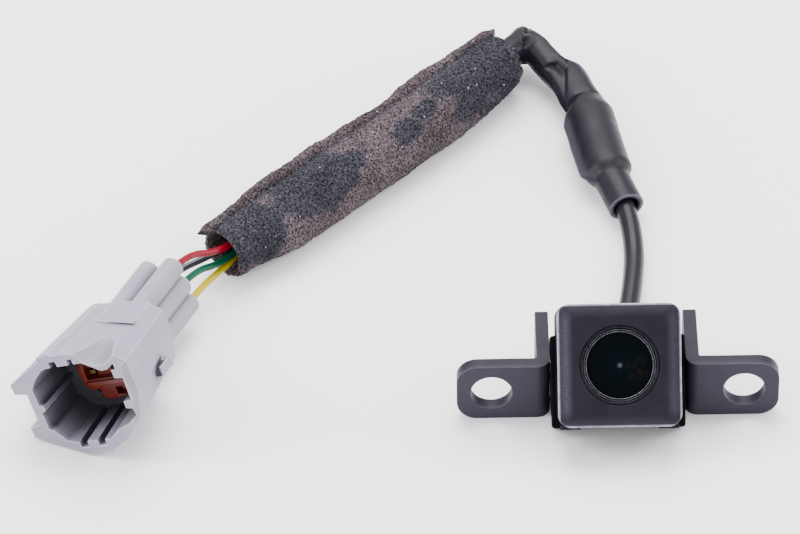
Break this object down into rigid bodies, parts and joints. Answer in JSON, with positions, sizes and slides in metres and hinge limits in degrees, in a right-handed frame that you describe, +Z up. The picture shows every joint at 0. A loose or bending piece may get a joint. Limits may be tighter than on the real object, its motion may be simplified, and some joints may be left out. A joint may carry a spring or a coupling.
{
  "type": "backup camera",
  "caption": "Square-faced backup camera between two bent-steel ears, with a black cable, shrink tube, foam-wrapped wires and a pale four-wire connector.",
  "frame": {"origin": "on the surface that the bracket stands on, under the middle of the head and bracket", "axes": "+X is the head's right seen from the front, +Y runs to the back, +Z is up"},
  "size_m": [0.138, 0.115, 0.0247],
  "materials": {
    "black_plastic": "satin, softly grained",
    "black_paint": "fine satin coat",
    "lens_black": "satin",
    "lens_glass": "dark coated glass",
    "black_rubber": "satin",
    "steel": "bright, lightly brushed",
    "brass": "bright",
    "board": "satin",
    "chip": "satin",
    "cable_black": "satin",
    "shrink_black": "satin, shrunk tight",
    "foam": "open-cell foam",
    "wire_red": "satin",
    "wire_black": "satin",
    "wire_green": "satin",
    "wire_yellow": "satin",
    "pale_plastic": "satin",
    "retainer_red": "satin",
    "seal_orange": "satin"
  },
  "bodies": {
    "root": {"front_cover": "black_plastic", "rear_housing": "black_plastic", "housing_gasket": "black_rubber", "housing_screws": "steel", "lens_barrel": "lens_black", "front_lens": "lens_glass", "lens_retaining_ring": "lens_black", "lens_o_ring": "black_rubber", "second_lens": "lens_glass", "lens_spacer": "lens_black", "third_lens": "lens_glass", "ir_filter": "lens_glass", "lens_holder": "black_plastic", "sensor_glass": "lens_glass", "image_sensor": "chip", "sensor_board": "board", "board_connector": "chip", "processor_board": "board", "image_processor": "chip", "cable_plug": "pale_plastic", "cable_grommet": "black_rubber", "pivot_insert_left": "brass", "pivot_insert_right": "brass", "pivot_screw_left": "steel", "pivot_screw_right": "steel", "camera_cable": "cable_black", "splices": "brass", "shrink_tube": "shrink_black", "flat_sleeve": "shrink_black", "foam_wrap": "foam", "wire_red": "wire_red", "wire_black": "wire_black", "wire_green": "wire_green", "wire_yellow": "wire_yellow", "connector_housing": "pale_plastic", "terminals": "brass", "wire_seals": "seal_orange"},
    "bracket_left_body": {"bracket_left": "black_paint"},
    "bracket_right_body": {"bracket_right": "black_paint"},
    "retainer_body": {"terminal_retainer": "retainer_red"}
  },
  "joints": [
    {"name": "bracket_left_tilt", "type": "hinge", "parent": "root", "child": "bracket_left_body", "pos_m": [-0.0136, 0.0049, 0.0061], "axis": [1, 0, 0], "range_deg": [-42, 18]},
    {"name": "bracket_right_tilt", "type": "hinge", "parent": "root", "child": "bracket_right_body", "pos_m": [0.0136, 0.0049, 0.0061], "axis": [1, 0, 0], "range_deg": [-42, 18]},
    {"name": "retainer_slide", "type": "slide", "parent": "root", "child": "retainer_body", "axis": [-0.3971, -0.9133, 0.0906], "range_m": [0, 0.0015]}
  ],
  "couplings": [
    {"joint": "bracket_right_tilt", "follows": "bracket_left_tilt", "ratio": 1}
  ]
}
